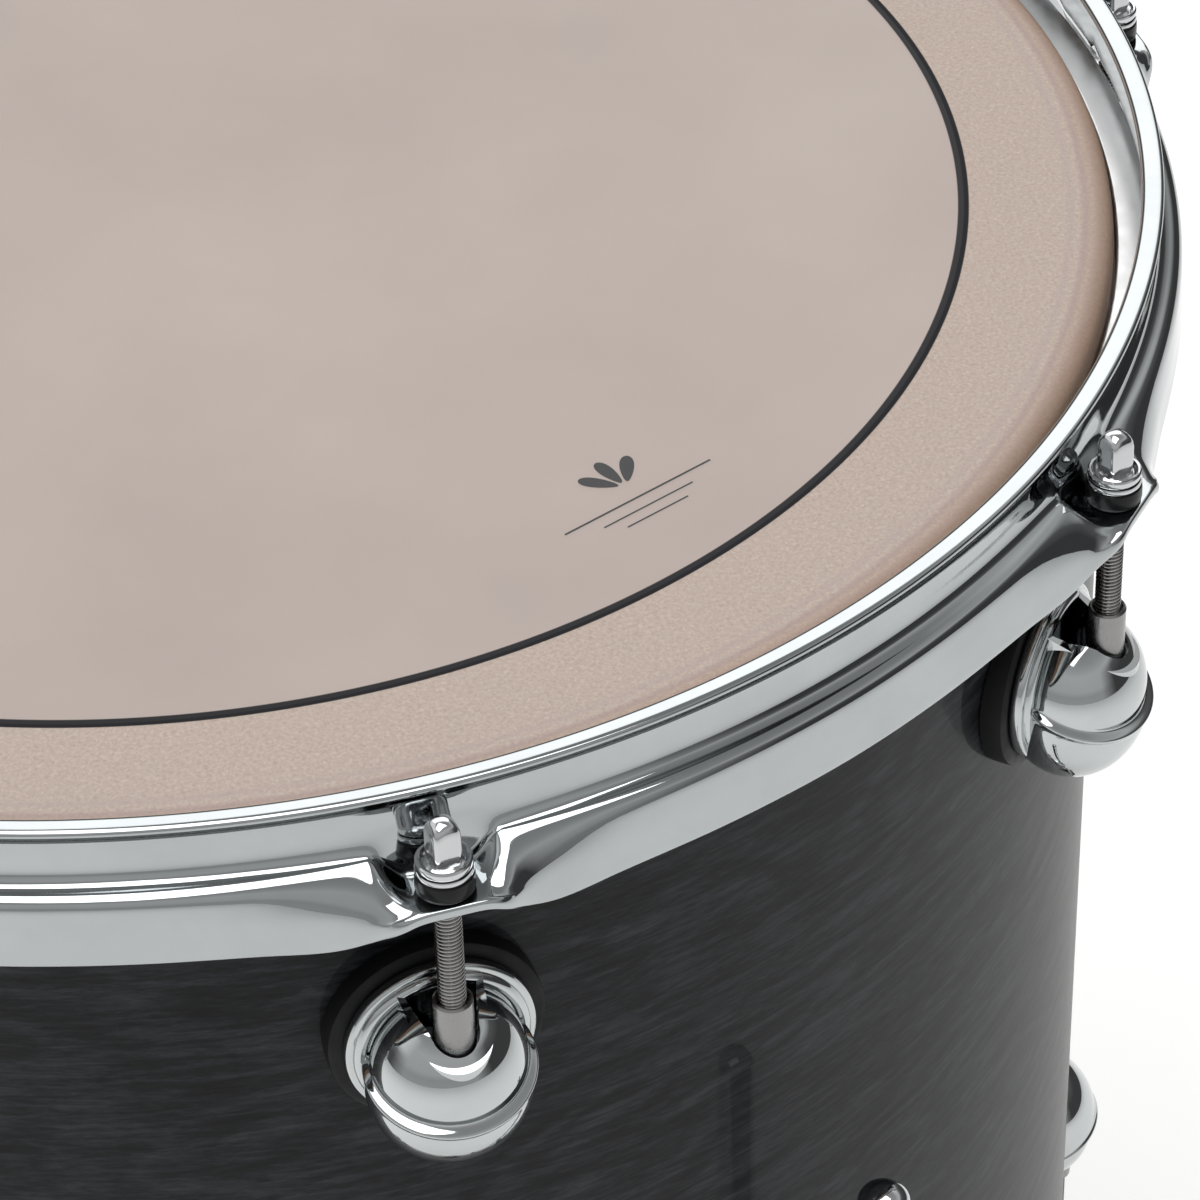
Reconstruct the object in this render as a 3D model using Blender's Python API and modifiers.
"""Eighteen-inch floor tom drum on three legs, as separate pieces.

Run with: blender --background --python part.py
Metres, +Z up. The origin is on the floor, on the drum's axis. A lug faces -Y.
"""

import math

import bmesh
import bpy
from mathutils import Matrix

# Drum
HEAD_Z = 0.635
DEPTH = 0.4572
SHELL_R = 0.2286
SHELL_WALL = 0.0065
STEPS = 48
GAP = 0.0003
LUG_COUNT = 8

# Film and flesh hoop
FILM = 0.0004
EDGE_R = 0.2266
FLESH_IN_R = 0.2298
FLESH_OUT_R = 0.2390
FLESH_TOP = -0.0060
FLESH_BOTTOM = -0.0137

# Counter hoop
EAR_TOP = -0.0091
EAR_THICK = 0.0023
EAR_TIP_R = 0.2550
EAR_HALF = 0.0118
WEB_IN_R = 0.2394
WEB_OUT_R = 0.2412
CLEAR_HALF = 0.0130

# Tension rod and lug
ROD_CIRCLE_R = 0.2480
ROD_R = 0.0030
ROD_END = -0.0700
WASHER_R = 0.0062
KEY_HEAD = 0.00635
KEY_TOP = 0.0090
LUG_DROP = 0.0630
LUG_STEPS = 12
GASKET_R = 0.0240
LUG_BASE_R = 0.0210
DOME_TIP_R = 0.2584
NUT_R = 0.0043
NUT_TOP = -0.0398

# Legs
LEG_COUNT = 3
LEG_AZIMUTH = -67.1
LEG_CIRCLE_R = 0.2570
LEG_R = 0.0060
LEG_TOP = 0.4935
FOOT_R = 0.0110
FOOT_HEIGHT = 0.0380
FOOT_SOLE = 0.0100
BRACKET_Z = 0.3075
BRACKET_SIZE = (0.034, 0.076)
CLAMP_SIZE = (0.026, 0.050)
PAD_OUT_R = 0.2320

# Air vent
VENT_AZIMUTH = 112.5
VENT_Z = HEAD_Z - DEPTH / 2
VENT_BARREL_R = 0.0062


def clear_scene():
    for obj in list(bpy.data.objects):
        bpy.data.objects.remove(obj, do_unlink=True)


def collection(name):
    group = bpy.data.collections.new(name)
    bpy.context.scene.collection.children.link(group)
    return group


def material(name, colour, roughness, metallic=0.0):
    mat = bpy.data.materials.new(name)
    mat.use_nodes = True
    shader = mat.node_tree.nodes["Principled BSDF"]
    shader.inputs["Base Color"].default_value = (*colour, 1.0)
    shader.inputs["Roughness"].default_value = roughness
    shader.inputs["Metallic"].default_value = metallic
    return mat


def add_object(name, mesh, group, mat=None, matrix=None):
    obj = bpy.data.objects.new(name, mesh)
    group.objects.link(obj)
    if mat and not mesh.materials:
        mesh.materials.append(mat)
    if matrix is not None:
        obj.matrix_world = matrix
    return obj


def lathe(name, profile, group, mat=None, matrix=None, steps=STEPS):
    """Turns (radius, height) points about local Z; the outer side runs down."""
    mesh = bpy.data.meshes.new(name)
    points = [(r, 0.0, z) for r, z in profile]
    edges = [(i, i + 1) for i in range(len(points) - 1)]
    if profile[0][0] > 0.0:
        edges.append((len(points) - 1, 0))
    mesh.from_pydata(points, edges, [])
    obj = add_object(name, mesh, group, mat, matrix)
    screw = obj.modifiers.new("turn", "SCREW")
    screw.steps = steps
    screw.render_steps = steps
    screw.use_merge_vertices = True
    screw.merge_threshold = 0.00001
    return obj


def add_box(bm, low, high, matrix=None):
    """Adds a box between two corners to a bmesh."""
    size = [b - a for a, b in zip(low, high)]
    centre = [(a + b) / 2 for a, b in zip(low, high)]
    place = Matrix.Translation(centre) @ Matrix.Diagonal((*size, 1.0))
    if matrix is not None:
        place = matrix @ place
    bmesh.ops.create_cube(bm, size=1.0, matrix=place)


def box_object(name, boxes, group, mat=None, matrix=None):
    mesh = bpy.data.meshes.new(name)
    bm = bmesh.new()
    for low, high in boxes:
        add_box(bm, low, high)
    bm.to_mesh(mesh)
    bm.free()
    return add_object(name, mesh, group, mat, matrix)


def extrude_outline(bm, outline, half_width, matrix):
    """Adds an (x, z) outline, drawn anticlockwise seen from -Y, extruded along Y."""
    verts = [bm.verts.new((x, -half_width, z)) for x, z in outline]
    face = bm.faces.new(verts)
    grown = bmesh.ops.extrude_face_region(bm, geom=[face])["geom"]
    moved = [e for e in grown if isinstance(e, bmesh.types.BMVert)]
    bmesh.ops.translate(bm, vec=(0.0, 2 * half_width, 0.0), verts=moved)
    bmesh.ops.transform(bm, matrix=matrix, verts=verts + moved)


def boolean(obj, other, operation):
    cut = obj.modifiers.new(other.name, "BOOLEAN")
    cut.operation = operation
    cut.object = other
    cut.solver = "EXACT"
    other.hide_render = True
    other.display_type = "WIRE"


def baked_mesh(obj, name):
    """The object's evaluated mesh, in world space."""
    graph = bpy.context.evaluated_depsgraph_get()
    mesh = bpy.data.meshes.new_from_object(obj.evaluated_get(graph))
    mesh.name = name
    mesh.transform(obj.matrix_world)
    mesh.shade_smooth()
    mesh.set_sharp_from_angle(angle=math.radians(35))
    bpy.data.objects.remove(obj, do_unlink=True)
    return mesh


def turn_z(degrees):
    return Matrix.Rotation(math.radians(degrees), 4, "Z")


def flip():
    """Turns a piece of the top side upside down for the bottom side."""
    return Matrix.Rotation(math.pi, 4, "X")


def outward():
    """Maps local +Z onto +X, so a turned piece points away from the drum's axis."""
    return Matrix.Rotation(math.pi / 2, 4, "Y")


def lug_angles():
    return [-90.0 + i * 360.0 / LUG_COUNT for i in range(LUG_COUNT)]


def leg_angles():
    return [LEG_AZIMUTH + i * 360.0 / LEG_COUNT for i in range(LEG_COUNT)]


def make_shell(parts, cutters, mat):
    top = HEAD_Z - FILM - GAP
    bottom = HEAD_Z - DEPTH + FILM + GAP
    inner = SHELL_R - SHELL_WALL
    profile = [
        (EDGE_R, top),
        (SHELL_R, top - 0.0025),
        (SHELL_R, bottom + 0.0025),
        (EDGE_R, bottom),
        (inner, bottom + 0.0045),
        (inner, top - 0.0045),
    ]
    shell = lathe("shell", profile, parts, mat)
    drill = [(0.0, 0.240), (0.0066, 0.240), (0.0066, 0.210), (0.0, 0.210)]
    place = Matrix.Translation((0, 0, VENT_Z)) @ turn_z(VENT_AZIMUTH) @ outward()
    hole = lathe("vent_drill", drill, cutters, matrix=place, steps=16)
    boolean(shell, hole, "DIFFERENCE")


def make_air_vent(parts, mat):
    out = SHELL_R + GAP
    inside = SHELL_R - SHELL_WALL - 0.0006
    profile = [
        (0.0105, out + 0.0014),
        (0.0110, out),
        (VENT_BARREL_R, out),
        (VENT_BARREL_R, inside),
        (0.0095, inside),
        (0.0095, inside - 0.0012),
        (0.0048, inside - 0.0012),
        (0.0048, out + 0.0014),
    ]
    place = Matrix.Translation((0, 0, VENT_Z)) @ turn_z(VENT_AZIMUTH) @ outward()
    lathe("air_vent", profile, parts, mat, place, steps=16)


def head_places():
    """Placement of the top and bottom copies of everything at a head plane."""
    low = HEAD_Z - DEPTH
    return {
        "batter": Matrix.Translation((0, 0, HEAD_Z)),
        "resonant": Matrix.Translation((0, 0, low)) @ flip(),
    }


def make_heads(parts, mats):
    """The drum film, whose edge folds out under the flesh hoop that pulls it."""
    inside = SHELL_R + GAP
    outside = inside + FILM
    fold = FLESH_BOTTOM - GAP
    profile = [
        (0.0, 0.0),
        (EDGE_R, 0.0),
        (outside, -0.0024),
        (outside, fold),
        (0.2340, fold),
        (0.2340, fold - FILM),
        (inside, fold - FILM),
        (inside, -0.0026),
        (EDGE_R - 0.0001, -FILM),
        (0.0, -FILM),
    ]
    for side, place in head_places().items():
        lathe(side + "_head", profile, parts, mats[side], place)


def make_flesh_hoops(parts, mat):
    profile = [
        (FLESH_OUT_R, FLESH_TOP),
        (FLESH_OUT_R, FLESH_BOTTOM),
        (FLESH_IN_R, FLESH_BOTTOM),
        (FLESH_IN_R, FLESH_TOP),
    ]
    for side, place in head_places().items():
        lathe(side + "_flesh_hoop", profile, parts, mat, place)


def hoop_profile():
    """Rolled rim, upright wall, and a shoulder that turns down into a skirt."""
    return [
        (0.2382, 0.0112),
        (0.2406, 0.0098),
        (0.2390, 0.0070),
        (0.2390, 0.0000),
        (0.2414, -0.0028),
        (0.2456, -0.0064),
        (0.2470, -0.0196),
        (0.2452, -0.0196),
        (0.2438, -0.0078),
        (0.2368, -0.0044),
        (0.2368, 0.0070),
        (0.2353, 0.0090),
    ]


def ear_outline():
    """L-section of an ear: an upright web with a flat shelf for the washer."""
    low = EAR_TOP - EAR_THICK
    return [
        (WEB_IN_R, low),
        (EAR_TIP_R, low),
        (EAR_TIP_R, EAR_TOP),
        (WEB_OUT_R, EAR_TOP),
        (WEB_OUT_R, -0.0022),
        (WEB_IN_R, -0.0006),
    ]


def hoop_ears(cutters):
    mesh = bpy.data.meshes.new("hoop_ears")
    bm = bmesh.new()
    for angle in lug_angles():
        extrude_outline(bm, ear_outline(), EAR_HALF, turn_z(angle))
    bmesh.ops.recalc_face_normals(bm, faces=bm.faces)
    bm.to_mesh(mesh)
    bm.free()
    return add_object("hoop_ears", mesh, cutters)


def ear_clearance(cutters):
    mesh = bpy.data.meshes.new("ear_clearance")
    bm = bmesh.new()
    low = (WEB_OUT_R, -CLEAR_HALF, EAR_TOP)
    high = (0.2620, CLEAR_HALF, 0.0020)
    for angle in lug_angles():
        add_box(bm, low, high, turn_z(angle))
    bm.to_mesh(mesh)
    bm.free()
    return add_object("ear_clearance", mesh, cutters)


def ear_drill(cutters):
    mesh = bpy.data.meshes.new("ear_drill")
    bm = bmesh.new()
    for angle in lug_angles():
        place = turn_z(angle) @ Matrix.Translation((ROD_CIRCLE_R, 0, EAR_TOP - 0.0012))
        bmesh.ops.create_cone(
            bm,
            cap_ends=True,
            segments=LUG_STEPS,
            radius1=ROD_R + 0.0005,
            radius2=ROD_R + 0.0005,
            depth=0.0200,
            matrix=place,
        )
    bm.to_mesh(mesh)
    bm.free()
    return add_object("ear_drill", mesh, cutters)


def make_hoops(parts, cutters, mat):
    hoop = lathe("hoop", hoop_profile(), parts, mat)
    boolean(hoop, ear_clearance(cutters), "DIFFERENCE")
    boolean(hoop, hoop_ears(cutters), "UNION")
    boolean(hoop, ear_drill(cutters), "DIFFERENCE")
    mesh = baked_mesh(hoop, "counter_hoop")
    for side, place in head_places().items():
        add_object(side + "_hoop", mesh, parts, mat, place)


def lug_profile():
    """Rubber gasket, base ring and dome, as distances from the drum's axis."""
    inside = SHELL_R - 0.0025
    gasket = SHELL_R + 0.0050
    return [
        (0.0, DOME_TIP_R),
        (0.0085, DOME_TIP_R - 0.0022),
        (0.0150, DOME_TIP_R - 0.0100),
        (0.0168, gasket + 0.0048),
        (LUG_BASE_R, gasket + 0.0036),
        (LUG_BASE_R, gasket),
        (GASKET_R, gasket),
        (GASKET_R, inside),
        (0.0, inside),
    ]


def make_lugs(parts, cutters, mat):
    """Lug with its swivel nut, bored for the rod and hollowed to fit the shell."""
    up = LUG_DROP + NUT_TOP
    lug = lathe("lug", lug_profile(), parts, mat, outward(), LUG_STEPS)
    tower = [(0.0, 0.0190), (0.0080, 0.0140), (0.0080, -0.0050), (0.0, -0.0050)]
    neck = [(0.0, up), (NUT_R, up), (NUT_R, 0.0), (0.0, 0.0)]
    bore_r = ROD_R + GAP
    bore = [(0.0, 0.0300), (bore_r, 0.0300), (bore_r, -0.0080), (0.0, -0.0080)]
    saddle_r = SHELL_R + GAP
    saddle = [(0.0, 0.05), (saddle_r, 0.05), (saddle_r, -0.05), (0.0, -0.05)]
    at_rod = Matrix.Translation((ROD_CIRCLE_R, 0, 0))
    boolean(lug, lathe("lug_saddle", saddle, cutters), "DIFFERENCE")
    boolean(lug, lathe("lug_tower", tower, cutters, None, at_rod, LUG_STEPS), "UNION")
    boolean(lug, lathe("swivel_nut", neck, cutters, None, at_rod, 10), "UNION")
    boolean(lug, lathe("lug_bore", bore, cutters, None, at_rod, 10), "DIFFERENCE")
    mesh = baked_mesh(lug, "lug")
    for side, place in head_places().items():
        for number, angle in enumerate(lug_angles(), 1):
            down = Matrix.Translation((0, 0, -LUG_DROP))
            spin = turn_z(angle if side == "batter" else -angle)
            add_object(f"{side}_lug_{number}", mesh, parts, mat, place @ down @ spin)


def make_tension_rods(parts, cutters, mat):
    """Square-headed rod with its collar and washer, about its own axis."""
    profile = [
        (0.0, 0.0),
        (WASHER_R, -0.0010),
        (WASHER_R, EAR_TOP + GAP),
        (ROD_R, EAR_TOP + GAP),
        (ROD_R, ROD_END + 0.0010),
        (ROD_R - 0.0010, ROD_END),
        (0.0, ROD_END),
    ]
    rod = lathe("tension_rod", profile, parts, mat, steps=10)
    half = KEY_HEAD / 2
    low = (-half, -half, -0.0050)
    head = box_object("key_head", [(low, (half, half, KEY_TOP))], cutters)
    boolean(rod, head, "UNION")
    mesh = baked_mesh(rod, "tension_rod")
    for side, place in head_places().items():
        for number, angle in enumerate(lug_angles(), 1):
            spin = turn_z(angle if side == "batter" else -angle)
            there = place @ spin @ Matrix.Translation((ROD_CIRCLE_R, 0, 0))
            add_object(f"{side}_tension_rod_{number}", mesh, parts, mat, there)


def leg_place(angle, height=0.0):
    return turn_z(angle) @ Matrix.Translation((LEG_CIRCLE_R, 0, height))


def make_legs(parts, mat):
    bottom = FOOT_SOLE + GAP
    profile = [
        (0.0, LEG_TOP),
        (LEG_R * 0.62, LEG_TOP - 0.0007),
        (LEG_R * 0.94, LEG_TOP - 0.0026),
        (LEG_R, LEG_TOP - 0.0052),
        (LEG_R, bottom),
        (0.0, bottom),
    ]
    for number, angle in enumerate(leg_angles(), 1):
        lathe(f"leg_{number}", profile, parts, mat, leg_place(angle), 16)


def make_feet(parts, mat):
    profile = [
        (LEG_R + 0.0025, FOOT_HEIGHT),
        (FOOT_R, 0.0140),
        (FOOT_R, 0.0015),
        (FOOT_R - 0.0015, 0.0),
        (0.0, 0.0),
        (0.0, FOOT_SOLE),
        (LEG_R + GAP, FOOT_SOLE),
        (LEG_R + GAP, FOOT_HEIGHT),
    ]
    for number, angle in enumerate(leg_angles(), 1):
        lathe(f"rubber_foot_{number}", profile, parts, mat, leg_place(angle), 16)


def bracket_box(low_r, high_r, width, height):
    low = (low_r - LEG_CIRCLE_R, -width / 2, -height / 2)
    return low, (high_r - LEG_CIRCLE_R, width / 2, height / 2)


def make_bracket_gaskets(parts, cutters, mat):
    width, height = BRACKET_SIZE
    low, high = bracket_box(SHELL_R - 0.0030, PAD_OUT_R, width + 0.002, height + 0.002)
    saddle_r = SHELL_R + GAP
    for number, angle in enumerate(leg_angles(), 1):
        place = leg_place(angle, BRACKET_Z)
        pad = box_object(f"bracket_gasket_{number}", [(low, high)], parts, mat, place)
        tube = [(0.0, 0.38), (saddle_r, 0.38), (saddle_r, 0.24), (0.0, 0.24)]
        boolean(pad, lathe(f"gasket_saddle_{number}", tube, cutters), "DIFFERENCE")


def make_brackets(parts, cutters, mat):
    """Leg bracket: base plate and clamp block, bored for the leg and the bolt."""
    width, height = BRACKET_SIZE
    plate_r = PAD_OUT_R + GAP
    plate = bracket_box(plate_r, plate_r + 0.005, width, height)
    block = bracket_box(plate_r + 0.003, LEG_CIRCLE_R + 0.0100, *CLAMP_SIZE)
    bore_r = LEG_R + GAP
    bore = [(0.0, 0.04), (bore_r, 0.04), (bore_r, -0.04), (0.0, -0.04)]
    bolt = [(0.0, 0.03), (0.0033, 0.03), (0.0033, 0.0), (0.0, 0.0)]
    sideways = Matrix.Rotation(-math.pi / 2, 4, "X")
    body = box_object("leg_bracket", [plate], parts, mat)
    boolean(body, box_object("clamp_block", [block], cutters), "UNION")
    boolean(body, lathe("leg_bore", bore, cutters, steps=16), "DIFFERENCE")
    boolean(body, lathe("bolt_bore", bolt, cutters, None, sideways, 12), "DIFFERENCE")
    mesh = baked_mesh(body, "leg_bracket")
    for number, angle in enumerate(leg_angles(), 1):
        place = leg_place(angle, BRACKET_Z)
        add_object(f"leg_bracket_{number}", mesh, parts, mat, place)


def make_wing_bolts(parts, cutters, mat):
    """Wing bolt along the bracket's side, its tip just short of the leg."""
    tip = LEG_R + GAP
    profile = [
        (0.0, 0.0300),
        (0.0050, 0.0290),
        (0.0055, CLAMP_SIZE[0] / 2 + 0.0010),
        (0.0030, CLAMP_SIZE[0] / 2 + 0.0010),
        (0.0030, tip),
        (0.0, tip),
    ]
    sideways = Matrix.Rotation(-math.pi / 2, 4, "X")
    bolt = lathe("wing_bolt", profile, parts, mat, sideways, 12)
    wings = box_object(
        "wings", [((-0.0020, 0.0180, -0.0200), (0.0020, 0.0350, 0.0200))], cutters
    )
    boolean(bolt, wings, "UNION")
    mesh = baked_mesh(bolt, "wing_bolt")
    for number, angle in enumerate(leg_angles(), 1):
        place = leg_place(angle, BRACKET_Z)
        add_object(f"wing_bolt_{number}", mesh, parts, mat, place)


def main():
    clear_scene()
    parts = collection("floor_tom")
    cutters = collection("cutters")
    lacquer = material("black_lacquer", (0.022, 0.022, 0.025), 0.10)
    chrome = material("chrome", (0.62, 0.63, 0.65), 0.08, 1.0)
    nickel = material("vent_nickel", (0.55, 0.55, 0.53), 0.20, 1.0)
    films = {
        "batter": material("batter_film", (0.62, 0.52, 0.45), 0.45),
        "resonant": material("resonant_film", (0.70, 0.70, 0.68), 0.35),
    }
    aluminium = material("flesh_hoop_aluminium", (0.60, 0.60, 0.60), 0.35, 1.0)
    casting = material("lug_chrome", (0.60, 0.61, 0.63), 0.10, 1.0)
    steel = material("rod_steel", (0.50, 0.50, 0.52), 0.22, 1.0)
    rubber = material("black_rubber", (0.015, 0.015, 0.015), 0.70)

    make_shell(parts, cutters, lacquer)
    make_air_vent(parts, nickel)
    make_heads(parts, films)
    make_flesh_hoops(parts, aluminium)
    make_hoops(parts, cutters, chrome)
    make_lugs(parts, cutters, casting)
    make_tension_rods(parts, cutters, steel)
    make_legs(parts, chrome)
    make_feet(parts, rubber)
    make_bracket_gaskets(parts, cutters, rubber)
    make_brackets(parts, cutters, casting)
    make_wing_bolts(parts, cutters, casting)


main()
